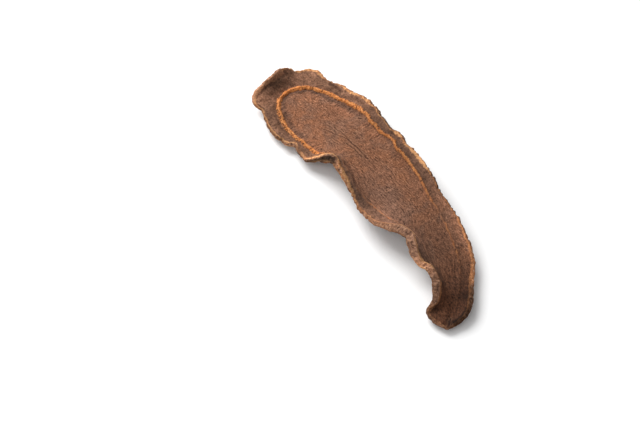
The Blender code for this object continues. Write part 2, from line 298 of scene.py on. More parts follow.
CREASES: tuple[Crease, ...] = (
    Crease(((-60.8, -17.0), (-61.8, -13.6), (-62.7, -10.2), (-63.9, -6.8), (-64.9, -3.4), (-65.8, -0.8)),
           0.4, 0.45, painted_shade=0.3),
    Crease(((-58.0, -17.5), (-56.4, -17.0), (-55.2, -16.6)), 0.3, 0.45, painted_shade=0.8),
    Crease(((-53.6, 12.1), (-51.6, 12.7), (-49.6, 13.4), (-47.4, 13.8)), 0.25, 0.6, painted_shade=0.6),
    Crease(((-34.4, -1.8), (-29.3, 0.5), (-26.3, 1.9), (-24.2, 2.7)), 0.3, 0.34, painted_shade=0.75),
    Crease(((-24.2, 2.7), (-18.8, 3.0), (-13.8, 3.3), (-10.6, 3.2)), 0.34, 0.34, painted_shade=0.85),
    Crease(((-22.6, 1.2), (-17.8, 1.7), (-12.6, 2.1)), 0.3, 0.32, painted_shade=0.8),
    Crease(((-33.4, 1.9), (-28.2, 2.9), (-25.2, 3.2)), 0.22, 0.3, painted_shade=0.7),
    Crease(((-38.6, 0.2), (-34.8, 0.7), (-30.0, 1.1)), 0.2, 0.3, painted_shade=0.45),
    Crease(((-29.0, -1.6), (-25.4, -1.2), (-22.2, -0.3)), 0.16, 0.3, painted_shade=0.4),
    Crease(((-32.0, 12.6), (-30.8, 13.2)), 0.35, 0.45, painted_shade=0.9),
    Crease(((-26.2, 6.5), (-25.2, 7.0)), 0.25, 0.4, painted_shade=0.7),
    Crease(((-38.0, 6.8), (-36.6, 7.2)), 0.2, 0.4, painted_shade=0.6),
    Crease(((-19.8, -6.4), (-15.5, -5.9), (-10.4, -6.1), (-4.6, -7.1), (-0.4, -8.4)), 0.22, 0.5, painted_shade=0.4),
    Crease(((-12.8, -4.6), (-8.7, -5.6), (-4.9, -6.6), (1.4, -8.3), (6.5, -9.3)), 0.16, 0.45, painted_shade=0.3),
    Crease(((25.0, 0.9), (33.7, 0.5), (40.1, -1.1), (46.0, -1.9)), 0.2, 0.6, painted_shade=0.25),
    Crease(((33.0, -1.8), (38.2, -2.6), (44.0, -1.8), (51.0, -2.8)), 0.25, 0.5, painted_shade=0.3),
    Crease(((57.5, -3.2), (60.8, -5.2), (63.4, -7.3), (65.6, -9.4), (67.4, -11.5)), 0.7, 0.9, painted_shade=0.0),
    Crease(((64.0, -7.8), (65.8, -9.6), (67.4, -11.6)), 0.3, 0.4, painted_shade=0.9),
    Crease(((-36.0, 3.6), (-27.0, 5.2), (-17.5, 4.8), (-8.4, 6.4)), 0.4, 0.34, Side.UNDER),
    Crease(((-12.0, 1.6), (-3.0, 2.8), (5.5, 2.4)), 0.3, 0.3, Side.UNDER, 0.8),
    Crease(((18.0, 6.4), (27.4, 7.2), (36.0, 6.1)), 0.3, 0.3, Side.UNDER, 0.7),
    Crease(((-46.0, -6.4), (-38.5, -5.5), (-33.0, -6.3)), 0.25, 0.3, Side.UNDER, 0.7),
)


@dataclass(frozen=True)
class SliceForm:
    """The rules that shape the slice, which are those of its solid."""

    pith_thickness: float = 2.5
    bark_thickness: float = 2.7
    edge_thickness_flat: float = 1.4
    edge_thickness_curled: float = 3.2
    least_edge_at_bark: float = 2.0
    thickens_from_curl: float = 2.6
    full_curl: float = 6.0
    broad_end_from: float = -56.0
    broad_end_over: float = 6.0
    ring_thickness: float = 3.9
    ring_width: float = 2.4
    ring_fades_from: float = 5.0
    ring_fades_over: float = 55.0
    ring_fades_by: float = 0.8
    least_bark: float = 1.6
    bark_share_before_edge: float = 2.0 / 3.0
    most_bark_share: float = 0.7
    clearance: float = 0.85
    bridge_height: float = 5.0
    bridge_top: float = 6.0
    bridge_half_length: float = 52.0
    curl_power: float = 3.2
    swell_height: float = 0.35
    swell_length: float = 13.0
    swell_layer: float = 4.0
    ragged_depth: float = 0.45
    ragged_length: float = 3.2
    low_spots: tuple[Point, ...] = ((-38.0, 10.0), (-42.0, -11.0), (60.5, -6.0))
    low_spot_radius: float = 5.5
    worn_flat: float = 0.3
    curve_steps: int = 24

    def edge(self, per_side: int) -> np.ndarray:
        """The closed edge at even steps along each side, from the narrow tip round to it again.

        Args:
            per_side: How many steps each side takes.

        Returns:
            x, y, curl and bark width of each step, without the closing one.
        """
        points = np.array(PLAIN_SIDE + ARCHED_SIDE)
        turn = len(PLAIN_SIDE)
        runs = ((0, turn), (turn, len(points)))
        return np.vstack([self.even_steps(points, first, last, per_side) for first, last in runs])

    def even_steps(self, points: np.ndarray, first: int, last: int, count: int) -> np.ndarray:
        """Points of the edge at equal steps from one control point to another.

        Args:
            points: The control points.
            first: Where the run starts.
            last: Where it ends.
            count: How many steps it takes.

        Returns:
            The points, without the last one.
        """
        place = np.linspace(first, last, count * self.curve_steps + 1)
        start_index = np.floor(place).astype(int)
        t = (place - start_index)[:, None]
        before, start, end, after = (points[(start_index + k) % len(points)] for k in (-1, 0, 1, 2))
        fine = 0.5 * (
            2.0 * start
            + (end - before) * t
            + (2.0 * before - 5.0 * start + 4.0 * end - after) * t ** 2
            + (3.0 * start - before - 3.0 * end + after) * t ** 3
        )
        run = np.append(0.0, np.cumsum(np.linalg.norm(np.diff(fine[:, :2], axis=0), axis=1)))
        goals = run[-1] * np.arange(count) / count
        return np.stack([np.interp(goals, run, fine[:, k]) for k in range(fine.shape[1])], axis=1)

    def spine_places(self, x: np.ndarray) -> np.ndarray:
        """The points of the middle line.

        Args:
            x: Where along the slice they are wanted.

        Returns:
            The point at each x, or the line's end where x is past it.
        """
        line = np.array(SPINE)
        x = np.clip(x, line[0, 0], line[-1, 0])
        return np.stack([x, np.interp(x, line[:, 0], line[:, 1])], axis=-1)

    def heights(self, x: np.ndarray, y: np.ndarray, curl: np.ndarray) -> np.ndarray:
        """The height of the middle of the slice's thickness.

        Args:
            x: Place along the slice.
            y: Place across it.
            curl: How far the curling edge lifts that place.

        Returns:
            Millimetres above the floor.
        """
        t = np.clip((x - self.bridge_top) / self.bridge_half_length, -1.0, 1.0)
        bridge = self.bridge_height * np.cos(0.5 * np.pi * t) ** 2
        level = np.stack([x, y, np.full_like(x, self.swell_layer)], axis=-1)
        swell = self.swell_height * wander(level, self.swell_length)
        z = 0.5 * self.pith_thickness + self.clearance + bridge + curl + swell
        resting = 0.5 * self.pith_thickness - self.worn_flat
        for spot_x, spot_y in self.low_spots:
            away = np.hypot(x - spot_x, y - spot_y)
            z = z + (resting - z) * hump(away, self.low_spot_radius)
        return z

    def edge_bulk(self, edge: np.ndarray) -> np.ndarray:
        """How thick the edge stayed: most where it curled up most, but for the broad end.

        Args:
            edge: The edge's points.

        Returns:
            A value from 0 to 1 for each of them.
        """
        curled = (edge[:, 2] - self.thickens_from_curl) / (self.full_curl - self.thickens_from_curl)
        broad_end = (self.broad_end_from - edge[:, 0]) / self.broad_end_over
        return np.clip(curled, 0.0, 1.0) * (1.0 - np.clip(broad_end, 0.0, 1.0))

    def edge_thickness(self, edge: np.ndarray) -> np.ndarray:
        """The thickness of the edge at each of its points."""
        gain = self.edge_thickness_curled - self.edge_thickness_flat
        return self.edge_thickness_flat + gain * self.edge_bulk(edge)

    def ring_peak(self, x: np.ndarray) -> np.ndarray:
        """How thick the slice is at the ring's crest, which fades towards the narrow end.

        Args:
            x: Place along the slice.

        Returns:
            The thickness at each x.
        """
        fade = np.clip((x - self.ring_fades_from) / self.ring_fades_over, 0.0, 1.0)
        proud = self.ring_thickness - self.pith_thickness
        return self.pith_thickness + proud * (1.0 - self.ring_fades_by * fade)


@dataclass(frozen=True)
class Relief:
    """How deep each kind of fine relief is, and how far apart its swells are, in millimetres."""

    dents: Pair = (0.14, 4.2)
    fibres: Pair = (0.07, 0.85)
    fibre_stretch: float = 3.4
    spokes: Pair = (0.07, 0.75)
    spoke_stretch: float = 4.0
    spoke_reach: float = 6.5
    bark_wrinkles: Pair = (0.2, 1.5)
    bark_crumbs: Pair = (0.12, 0.6)
    ring_lumps: Pair = (0.2, 0.9)
    ring_half_width: float = 0.75
    ring_groove: float = 0.22
    ring_groove_gap: float = 1.4
    ring_groove_width: float = 0.5
    ring_fades_at_edge: Pair = (-1.5, 1.5)
    bark_begins: Pair = (-0.4, 0.8)
    crease_widening: float = 1.7
    lip: Pair = (0.14, 0.8)
    lip_height: float = 0.6
    lip_length: float = 1.9
    fray: Pair = (0.3, 1.1)
    nicks: Pair = (0.9, 2.3)
    nick_rarity: float = 0.22
    fray_reach: float = 1.2
    wall_bulge: float = 0.1
    wall_ribs: Pair = (0.34, 0.7)
    wall_crumbs: Pair = (0.45, 0.9)
    wall_slant: float = 0.45
    wall_rib_stretch: float = 0.35
    swirl: Pair = (4.5, 15.0)
    swirl_apart: float = 7.0
    fibres_apart: float = 20.0
    bow: float = 0.0022
    bow_middle: float = 2.0
    crease_wander: Pair = (0.35, 1.7)
    far_from_creases: float = 20.0


@dataclass
class Face:
    """One cut face, as rows of points from the middle line out to the edge, with what the finish reads."""

    places: np.ndarray
    numbers: Numbers
    flows: Numbers


@dataclass
class Layout:
    """The edge at a fine pitch, and the middle line's point that each of its steps hangs on.

    Its rows of points crowd together towards the edge.
    """

    form: SliceForm
    per_side: int
    crowding: float = 1.3

    def __post_init__(self) -> None:
        """Work out what every row needs."""
        edge = self.form.edge(self.per_side)
        count = len(edge)
        twin = edge[-np.arange(count) % count]
        self.edge = edge
        self.anchor = self.form.spine_places(0.5 * (edge[:, 0] + twin[:, 0]))
        outward = edge[:, :2] - self.anchor
        flat = np.column_stack([edge[:, :2], np.zeros(count)])
        self.reach = np.linalg.norm(outward, axis=1)
        self.outward = outward / self.reach[:, None]
        self.reach = self.reach + self.form.ragged_depth * wander(flat, self.form.ragged_length)
        bark = np.maximum(edge[:, 3], self.form.least_bark)
        self.crest = 1.0 - np.minimum(bark / self.reach, self.form.most_bark_share)
        self.ring = self.along(RING_STRENGTH)
        self.lip = self.along(LIP_WIDTH)
        self.ahead = unit(np.roll(edge[:, :2], -1, axis=0) - np.roll(edge[:, :2], 1, axis=0))

    def along(self, table: BothSides) -> np.ndarray:
        """Read a value that changes along the slice at each step of the edge."""
        values = [np.interp(self.edge[:, 0], *np.array(side).T) for side in (table.plain, table.arched)]
        return np.where(np.arange(len(self.edge)) < self.per_side, *values)

    def shares(self, pith_rows: int, ring_rows: int, bark_rows: int) -> np.ndarray:
        """Where each row lies, from 0 on the middle line to 1 at the edge.

        Args:
            pith_rows: How many rows the pith takes.
            ring_rows: How many the ring takes.
            bark_rows: How many the bark takes.

        Returns:
            A row of shares for each row of points.
        """
        foot = 0.5 * self.form.ring_width / self.reach
        inner, outer = self.crest - foot, self.crest + foot
        pith = np.linspace(0.0, 1.0, pith_rows, endpoint=False)[:, None] * inner
        ring = inner + np.linspace(0.0, 1.0, ring_rows, endpoint=False)[:, None] * (outer - inner)
        out = 1.0 - (1.0 - np.linspace(0.0, 1.0, bark_rows + 1)[:, None]) ** self.crowding
        return np.vstack([pith, ring, outer + out * (1.0 - outer)])

    def middle_sheet(self, shares: np.ndarray) -> tuple[np.ndarray, np.ndarray, np.ndarray]:
        """The sheet halfway through the slice.

        Args:
            shares: Where each row lies.

        Returns:
            The sheet's points, its upward normals, and the directions in which its rows run outwards.
        """
        flat = self.anchor + self.outward * (self.reach * shares)[..., None]
        x, y = flat[..., 0], flat[..., 1]
        curl = self.edge[:, 2] * shares ** self.form.curl_power
        sheet = np.stack([x, y, self.form.heights(x, y, curl)], axis=-1)
        outwards = unit(np.gradient(sheet, axis=0))
        round_edge = np.roll(sheet, -1, axis=1) - np.roll(sheet, 1, axis=1)
        normals = np.cross(round_edge, outwards)
        normals = unit(normals * np.where(normals[..., 2:] < 0.0, -1.0, 1.0))
        normals[0] = self.spine_normals(x[0], y[0])
        return sheet, normals, outwards

    def spine_normals(self, x: np.ndarray, y: np.ndarray) -> np.ndarray:
        """The upward normals along the middle line, where the rows have no width.

        Args:
            x: Place along the slice.
            y: Place across it.

        Returns:
            A direction for each point.
        """
        step = 0.5
        flat = np.zeros_like(x)
        slope_x = self.form.heights(x + step, y, flat) - self.form.heights(x - step, y, flat)
        slope_y = self.form.heights(x, y + step, flat) - self.form.heights(x, y - step, flat)
        return unit(np.stack([-slope_x, -slope_y, np.full_like(x, 2.0 * step)], axis=-1))

    def thickness(self, shares: np.ndarray) -> np.ndarray:
        """The slice's plain thickness, without the ring.

        Args:
            shares: Where each row lies.

        Returns:
            The thickness at each point.
        """
        form = self.form
        edge = form.edge_thickness(self.edge)
        bark = 0.5 * (form.bark_thickness + np.maximum(edge, form.least_edge_at_bark))
        outer = self.crest + 0.5 * form.ring_width / self.reach
        last_bark = outer + (1.0 - outer) * form.bark_share_before_edge
        thick = form.pith_thickness + (bark - form.pith_thickness) * np.clip(
            (shares - self.crest) / (outer - self.crest), 0.0, 1.0)
        return thick + (edge - bark) * np.clip((shares - last_bark) / (1.0 - last_bark), 0.0, 1.0)


@dataclass(frozen=True)
class PithFinish:
    """The fibrous middle of the slice: its colours, how large its patches are, and how fine its fibres."""

    plain: Colour = (0.186, 0.080, 0.0435)
    deep: Colour = (0.093, 0.036, 0.018)
    warm: Colour = (0.218, 0.088, 0.043)
    # grey: the colour of the painted grey sheen in the pith's patches, and of the greyed zones
    grey: Colour = (0.122, 0.066, 0.045)
    hair: Colour = (0.350, 0.185, 0.106)
    # crack: the colour of the painted shade drawn in the creases
    crack: Colour = (0.056, 0.023, 0.014)
    warm_patch: float = 7.0
    grey_sheen_patch: float = 8.0
    fibre_fineness: Triple = (0.5, 1.9, 1.0)
    spoke_fineness: Triple = (1.5, 1.5, 0.4)
    fleck_fineness: Triple = (0.8, 1.5, 1.0)
    hair_fineness: Triple = (0.6, 2.7, 1.7)
    streak_contrast: float = 2.9
    crumb_contrast: float = 3.2
    roughness: float = 0.84


@dataclass(frozen=True)
class BarkFinish:
    """The darker margin between the ring and the edge."""

    plain: Colour = (0.128, 0.062, 0.036)
    dusty: Colour = (0.225, 0.112, 0.068)
    black: Colour = (0.040, 0.020, 0.014)
    patch: float = 3.4
    wrinkle: float = 1.2


@dataclass(frozen=True)
class RingFinish:
    """The bright woody ring."""

    plain: Colour = (0.470, 0.170, 0.050)
    light: Colour = (0.670, 0.295, 0.105)
    faint: Colour = (0.250, 0.122, 0.068)
    rust: Colour = (0.270, 0.072, 0.018)
    pit: Colour = (0.060, 0.023, 0.011)
    grain: float = 0.7
    pit_size: float = 0.95
    gloss: float = 0.18


@dataclass(frozen=True)
class EdgeFinish:
    """The bright lip round the edge, and the wall that the edge turns up."""

    lip: Colour = (0.330, 0.135, 0.055)
    bright: Colour = (0.600, 0.300, 0.130)
    wall: Colour = (0.200, 0.100, 0.062)
    rib: Colour = (0.490, 0.264, 0.158)
    gap: Colour = (0.055, 0.026, 0.016)
    chalk: Colour = (0.360, 0.187, 0.119)
    lip_grain: float = 1.2
    lip_contrast: float = 2.4
    wall_grain: float = 1.0
    rib_fineness: Triple = (1.7, 1.7, 1.0)


class Wire:
    """A number on its way between two shader nodes, to be used in sums like any other number."""

    def __init__(self, paint: "Paint", socket: bpy.types.NodeSocket) -> None:
        """Hold the socket that the number comes out of."""
        self.paint = paint
        self.socket = socket

    def sum_with(self, operation: str, *values: "Wire | float") -> "Wire":
        """Send numbers through a Math node, in its own order."""
        made = self.paint.node("ShaderNodeMath", {"operation": operation}, dict(enumerate(values)))
        return Wire(self.paint, made.outputs[0])

    def __add__(self, other: "Wire | float") -> "Wire":
        """Add."""
        return self.sum_with("ADD", self, other)

    __radd__ = __add__

    def __mul__(self, other: "Wire | float") -> "Wire":
        """Multiply."""
        return self.sum_with("MULTIPLY", self, other)

    __rmul__ = __mul__

    def __sub__(self, other: "Wire | float") -> "Wire":
        """Subtract."""
        return self.sum_with("SUBTRACT", self, other)

    def __rsub__(self, other: float) -> "Wire":
        """Subtract from a plain number."""
        return self.sum_with("SUBTRACT", other, self)

    def __abs__(self) -> "Wire":
        """Drop the sign."""
        return self.sum_with("ABSOLUTE", self)

    def over(self, low: "Wire | float", high: "Wire | float") -> "Wire":
        """Rise smoothly from 0 at low to 1 at high.

        Args:
            low: Where the rise starts.
            high: Where it ends.

        Returns:
            The mask.
        """
        made = self.paint.node(
            "ShaderNodeMapRange",
            {"interpolation_type": "SMOOTHSTEP", "clamp": True},
            {"Value": self, "From Min": low, "From Max": high},
        )
        return Wire(self.paint, made.outputs[0])


class Paint:
    """One material's node tree, and the few ways in which nodes are added to it."""

    def __init__(self, name: str) -> None:
        """Start a material with its shader.

        Args:
            name: The material's name.
        """
        self.material = bpy.data.materials.new(name)
        self.material.use_nodes = True
        self.tree = self.material.node_tree
        self.shader = self.tree.nodes["Principled BSDF"]

    def node(self, kind: str, settings: dict[str, object], inputs: dict[str | int, object]) -> bpy.types.Node:
        """Add a node.

        Args:
            kind: The node's type.
            settings: Its properties, which are set first.
            inputs: The value or the link of each socket, by the socket's name or number.

        Returns:
            The node.
        """
        made = self.tree.nodes.new(kind)
        for name, value in settings.items():
            setattr(made, name, value)
        for name, value in inputs.items():
            self.feed(made.inputs[name], value)
        return made

    def feed(self, socket: bpy.types.NodeSocket, value: object) -> None:
        """Link a wire to a socket, or set the socket's own value.

        Args:
            socket: The socket.
            value: A wire, a number, or a colour or vector.
        """
        if isinstance(value, Wire):
            self.tree.links.new(value.socket, socket)
        elif isinstance(value, tuple) and len(value) < len(socket.default_value):
            socket.default_value = (*value, 1.0)
        else:
            socket.default_value = value

    def attribute(self, name: str) -> Wire:
        """Read one of the mesh's own numbers."""
        return Wire(self, self.node("ShaderNodeAttribute", {"attribute_name": name}, {}).outputs["Fac"])

    def places(self) -> Wire:
        """Places on the object, in millimetres."""
        found = self.node("ShaderNodeTexCoord", {}, {})
        return self.stretched(Wire(self, found.outputs["Object"]), (1.0 / MM, 1.0 / MM, 1.0 / MM))

    def flow(self, name: str) -> Wire:
        """Read one of the mesh's own sets of places, in millimetres."""
        return Wire(self, self.node("ShaderNodeAttribute", {"attribute_name": name}, {}).outputs["Vector"])

    def stretched(self, places: Wire, factors: Triple) -> Wire:
        """Places with each of their axes scaled."""
        made = self.node("ShaderNodeVectorMath", {"operation": "MULTIPLY"}, {0: places, 1: factors})
        return Wire(self, made.outputs[0])

    def cloud(self, places: Wire, length: float, detail: float = 2.0, rough: float = 0.5,
              twist: float = 0.0) -> Wire:
        """Soft random blotches.

        Args:
            places: Where the pattern is read, in millimetres.
            length: About how wide its blotches are.
            detail: How many finer layers it holds.
            rough: How strong the finer layers are.
            twist: How far it is distorted.

        Returns:
            A number from 0 to 1, mostly near a half.
        """
        made = self.node(
            "ShaderNodeTexNoise",
            {},
            {
                "Vector": places,
                "Scale": 1.0 / length,
                "Detail": detail,
                "Roughness": rough,
                "Distortion": twist,
            },
        )
        return Wire(self, made.outputs[0])

    def mix(self, first: "Wire | Colour", second: "Wire | Colour", share: "Wire | float") -> Wire:
        """Blend two colours, all of the second where share is 1."""
        made = self.node("ShaderNodeMix", {"data_type": "RGBA"}, {0: share, 6: first, 7: second})
        return Wire(self, made.outputs[2])

    def layered(self, colour: "Wire | Colour", *layers: "tuple[Wire | Colour, Wire]") -> Wire:
        """Lay more colours over one.

        Args:
            colour: The lowest.
            layers: The others from the lowest up, each with how much of it there is.

        Returns:
            The blend.
        """
        for over, share in layers:
            colour = self.mix(colour, over, share)
        return colour

    def dim(self, colour: Wire, amount: Wire) -> Wire:
        """Multiply a colour by a number that varies."""
        settings = {"data_type": "RGBA", "blend_type": "MULTIPLY"}
        return Wire(self, self.node("ShaderNodeMix", settings, {0: 1.0, 6: colour, 7: amount}).outputs[2])

    def raise_by(self, height: Wire) -> None:
        """Bend the surface's normal by a height in millimetres."""
        bump = self.node("ShaderNodeBump", {}, {"Height": height, "Distance": MM, "Strength": 1.0})
        self.feed(self.shader.inputs["Normal"], Wire(self, bump.outputs[0]))


@dataclass
class FleshPainter:
    """The material of the whole slice: its zones blend into one another as they grew.

    The plain numbers in its methods say from where to where a pattern or a distance in millimetres turns from
    none to all, and how much of each colour is laid on there.
    """

    pith: PithFinish = field(default_factory=PithFinish)
    bark: BarkFinish = field(default_factory=BarkFinish)
    ring: RingFinish = field(default_factory=RingFinish)
    edge: EdgeFinish = field(default_factory=EdgeFinish)
    crumb_size: float = 0.55
    fine_size: float = 0.32
    fibre_height: float = 0.17
    crumb_height: float = 0.22
    rib_height: float = 0.5
    wall_crumb_height: float = 0.35
    fine_height: float = 0.04
    fine_height_on_ring: float = 0.22
    roughness_spread: float = 0.25
    reflection: float = 0.1
    sheen: float = 0.02
    sheen_roughness: float = 0.45

    def __post_init__(self) -> None:
        """Start the material and read what its patterns follow."""
        self.paint = Paint("dried_rhizome_flesh")
        self.places = self.paint.places()
        self.grain = self.paint.flow("grain")
        names = ("ring_gap", "edge_gap", "ring", "glow", "chalk")
        self.ring_gap, self.edge_gap, self.strength, self.glow, self.chalk = map(self.paint.attribute, names)
        self.crumbs = self.cloud(self.crumb_size, 4.0, 0.68)

    def cloud(self, length: float, detail: float = 2.0, rough: float = 0.5, twist: float = 0.0) -> Wire:
        """Soft random blotches that run through the whole slice."""
        return self.paint.cloud(self.places, length, detail, rough, twist)

    def strands(self, flow: Wire, fineness: Triple, detail: float, rough: float, twist: float = 0.0) -> Wire:
        """Blotches drawn out along a flow."""
        return self.paint.cloud(self.paint.stretched(flow, fineness), 1.0, detail, rough, twist)

    def material(self) -> bpy.types.Material:
        """Make the material.

        Returns:
            The material, for the slice's only slot.
        """
        paint, crumbs = self.paint, self.crumbs
        streaks = self.streaks()
        outside = (self.ring_gap + (self.cloud(1.6) - 0.5) * 1.2).over(-0.2, 0.8) * paint.attribute("husk")
        woody, lip = self.ring_mask(), self.lip_colour()
        uneven_lip = paint.dim(lip, (crumbs - 0.5) * self.edge.lip_contrast + 1.0)
        wall = paint.attribute("wall").over(0.02, 0.3)
        ribs = self.strands(self.grain, self.edge.rib_fineness, 3.0, 0.62)
        flesh = self.flesh_colour(streaks, outside)
        faces_colour = paint.layered(flesh, (self.ring_colour(), woody), (uneven_lip, self.lip_mask()))
        colour = paint.mix(self.cracked(faces_colour), self.wall_colour(ribs, lip), wall)
        # the shade attribute multiplies in the flesh's own tones together with painted shade and painted
        # light
        colour = paint.dim(colour, paint.attribute("shade"))

        inputs = paint.shader.inputs
        paint.feed(inputs["Base Color"], colour)
        uneven = (crumbs - 0.5) * self.roughness_spread
        paint.feed(inputs["Roughness"], self.pith.roughness + uneven - woody * self.ring.gloss)
        inputs["Specular IOR Level"].default_value = self.reflection
        inputs["Sheen Weight"].default_value = self.sheen
        inputs["Sheen Roughness"].default_value = self.sheen_roughness
        faces = streaks * (outside * -0.5 + 1.0) * self.fibre_height + crumbs * self.crumb_height
        walls = ribs * self.rib_height + crumbs * self.wall_crumb_height
        fine = self.cloud(self.fine_size) * (woody * self.fine_height_on_ring + self.fine_height)
        paint.raise_by(faces + (walls - faces) * wall + fine)
        return paint.material

    def streaks(self) -> Wire:
        """The fibres, which near the ring turn to run straight into it.

        Returns:
            A number from 0 to 1, mostly near a half.
        """
        fibres = self.strands(self.grain, self.pith.fibre_fineness, 3.0, 0.6)
        spokes = self.strands(self.paint.flow("spoke"), self.pith.spoke_fineness, 3.0, 0.6)
        near = self.ring_gap.over(-7.0, -3.5) * self.strength.over(0.3, 1.0)
        return fibres + (spokes - fibres) * near

    def flesh_colour(self, streaks: Wire, outside: Wire) -> Wire:
        """Pith and bark, greyed in places, partly as painted sheen, and darkened towards the narrow end,
        partly as painted shade, with their fine contrast.

        Args:
            streaks: The fibres' pattern.
            outside: Where the bark is.

        Returns:
            The colour.
        """
        paint = self.paint
        colour = paint.layered(
            self.pith_colour(),
            (self.bark_colour(), outside),
            # greyed in places: partly the flesh's own grey, partly painted sheen
            (self.pith.grey, paint.attribute("ash") * 0.75),
            # towards the narrow end the colour is pulled to the deep brown: partly its darker tone, partly
            # painted warm shade
            (self.pith.deep, paint.attribute("ripe") * 0.85),
        )
        of_streaks = (streaks - 0.5) * (outside * -0.6 + 1.0) * self.pith.streak_contrast
        return paint.dim(colour, of_streaks + (self.crumbs - 0.5) * self.pith.crumb_contrast + 1.0)

    def pith_colour(self) -> Wire:
        """The pith: brown, with redder patches, greyer patches of painted sheen, dark flecks and paler hairs.

        Returns:
            The colour.
        """
        paint, finish = self.paint, self.pith
        warm = self.cloud(finish.warm_patch, 3.0, 0.6).over(0.45, 0.62)
        # patches of painted grey sheen
        grey = paint.cloud(self.grain, finish.grey_sheen_patch, 3.0).over(0.5, 0.66)
        flecks = self.strands(self.grain, finish.fleck_fineness, 2.0, 0.6, 0.4).over(0.42, 0.3)
        hairs = self.strands(self.grain, finish.hair_fineness, 1.0, 0.5, 0.4).over(0.57, 0.72)
        return paint.layered(
            finish.plain,
            (finish.warm, warm * 0.8),
            (finish.grey, grey * 0.5),
            (finish.deep, flecks * 0.45),
            (finish.hair, hairs * 0.4),
            (finish.hair, self.crumbs.over(0.58, 0.72) * 0.55),
        )

    def bark_colour(self) -> Wire:
        """The bark margin: dark, dustier towards the edge, black in its wrinkles.

        Returns:
            The colour.
        """
        finish = self.bark
        dusty = (self.cloud(finish.patch, 4.0, 0.62) + self.edge_gap.over(4.5, 0.3) * 0.14).over(0.47, 0.68)
        wrinkles = self.cloud(finish.wrinkle, 3.0, 0.6).over(0.44, 0.32)
        return self.paint.layered(finish.plain, (finish.dusty, dusty * 0.85), (finish.black, wrinkles * 0.55))

    def cracked(self, colour: Wire) -> Wire:
        """Draw the creases: a thin dark line of painted shade with a paler ridge beside it.

        Args:
            colour: The colour without them.

        Returns:
            The colour with them.
        """
        painted_shade = self.paint.attribute("crease_stain")
        away = self.paint.attribute("crease_gap") + (self.cloud(0.7) - 0.5) * 1.6
        ridge = away.over(0.7, 1.3) * away.over(2.4, 1.5) * painted_shade
        line = away.over(1.4, 0.4) * painted_shade
        return self.paint.layered(colour, (self.pith.hair, ridge * 0.4), (self.pith.crack, line * 0.85))

    def ring_mask(self) -> Wire:
        """Where the ring shows: a line of uneven width, broken where it is weak.

        Returns:
            The mask.
        """
        half_width = self.strength * 0.6 + 0.16 + (self.cloud(1.0, 3.0, 0.62) - 0.5) * 1.2
        breaks = (self.strength * 0.8 + self.cloud(3.0, 3.0, 0.6)).over(0.46, 1.0)
        return abs(self.ring_gap).over(half_width + 0.2, half_width - 0.1) * breaks

    def ring_colour(self) -> Wire:
        """The ring: orange wood with paler and rustier grains, and black pits along its outer margin.

        Returns:
            The colour.
        """
        finish = self.ring
        grains = self.cloud(finish.grain, 3.0, 0.68)
        faint = self.strength.over(0.7, 0.3)
        bright = (grains + self.glow * (self.strength - 0.4)).over(0.5, 0.68)
        margin = self.ring_gap.over(0.1, 0.5) * 0.1
        pits = (self.cloud(finish.pit_size, 2.0, 0.5, 0.6) - margin).over(0.4, 0.33)
        return self.paint.layered(
            finish.plain,
            (finish.light, bright * 0.9),
            (self.edge.lip, faint * 0.6),
            (finish.faint, self.chalk.over(0.0, 0.3) * faint * 0.85),
            (finish.rust, grains.over(0.49, 0.37) * 0.9),
            (finish.pit, pits * 0.9),
        )

    def lip_mask(self) -> Wire:
        """Where the bright lip shows along the edge: a line of very uneven width.

        Returns:
            The mask.
        """
        width = self.paint.attribute("lip") * (self.cloud(2.6, 3.0, 0.6) * 2.2 - 0.15)
        ragged = (self.cloud(0.8, 3.0, 0.6) - 0.5) * 1.1
        return (self.edge_gap + ragged).over(width + 0.2, width - 0.15) * 0.9

    def lip_colour(self) -> Wire:
        """The lip: tan to bright orange-tan, its brightest grains partly painted highlight, or chalky.

        Returns:
            The colour.
        """
        finish = self.edge
        grains = (self.cloud(finish.lip_grain, 4.0, 0.66) + self.glow).over(0.42, 0.58)
        return self.paint.layered(finish.lip, (finish.bright, grains), (finish.chalk, self.chalk * 0.6))

    def wall_colour(self, ribs: Wire, lip: Wire) -> Wire:
        """The edge's wall: brown with paler and darker ribs across it, lighter on the ribs and darker in
        their gaps, partly as painted highlight and painted shade, and bright where it is thin.

        Args:
            ribs: The ribs' pattern.
            lip: The lip's colour, which the wall's rim shares.

        Returns:
            The colour.
        """
        paint, finish = self.paint, self.edge
        grains = ribs * 0.35 + self.crumbs * 0.25 + self.cloud(finish.wall_grain, 2.0, 0.55) * 0.4
        depth = paint.attribute("wall") + (self.cloud(0.9) - 0.5) * 0.5
        return paint.layered(
            finish.wall,
            (finish.lip, paint.attribute("thin") * self.cloud(3.0).over(0.3, 0.6)),
            (finish.chalk, self.chalk * 0.6),
            (finish.rib, grains.over(0.5, 0.58) * 0.8),
            (finish.gap, grains.over(0.48, 0.41) * 0.85),
            (lip, depth.over(0.5, 0.15) * self.cloud(2.4).over(0.32, 0.5) * 0.85),
        )


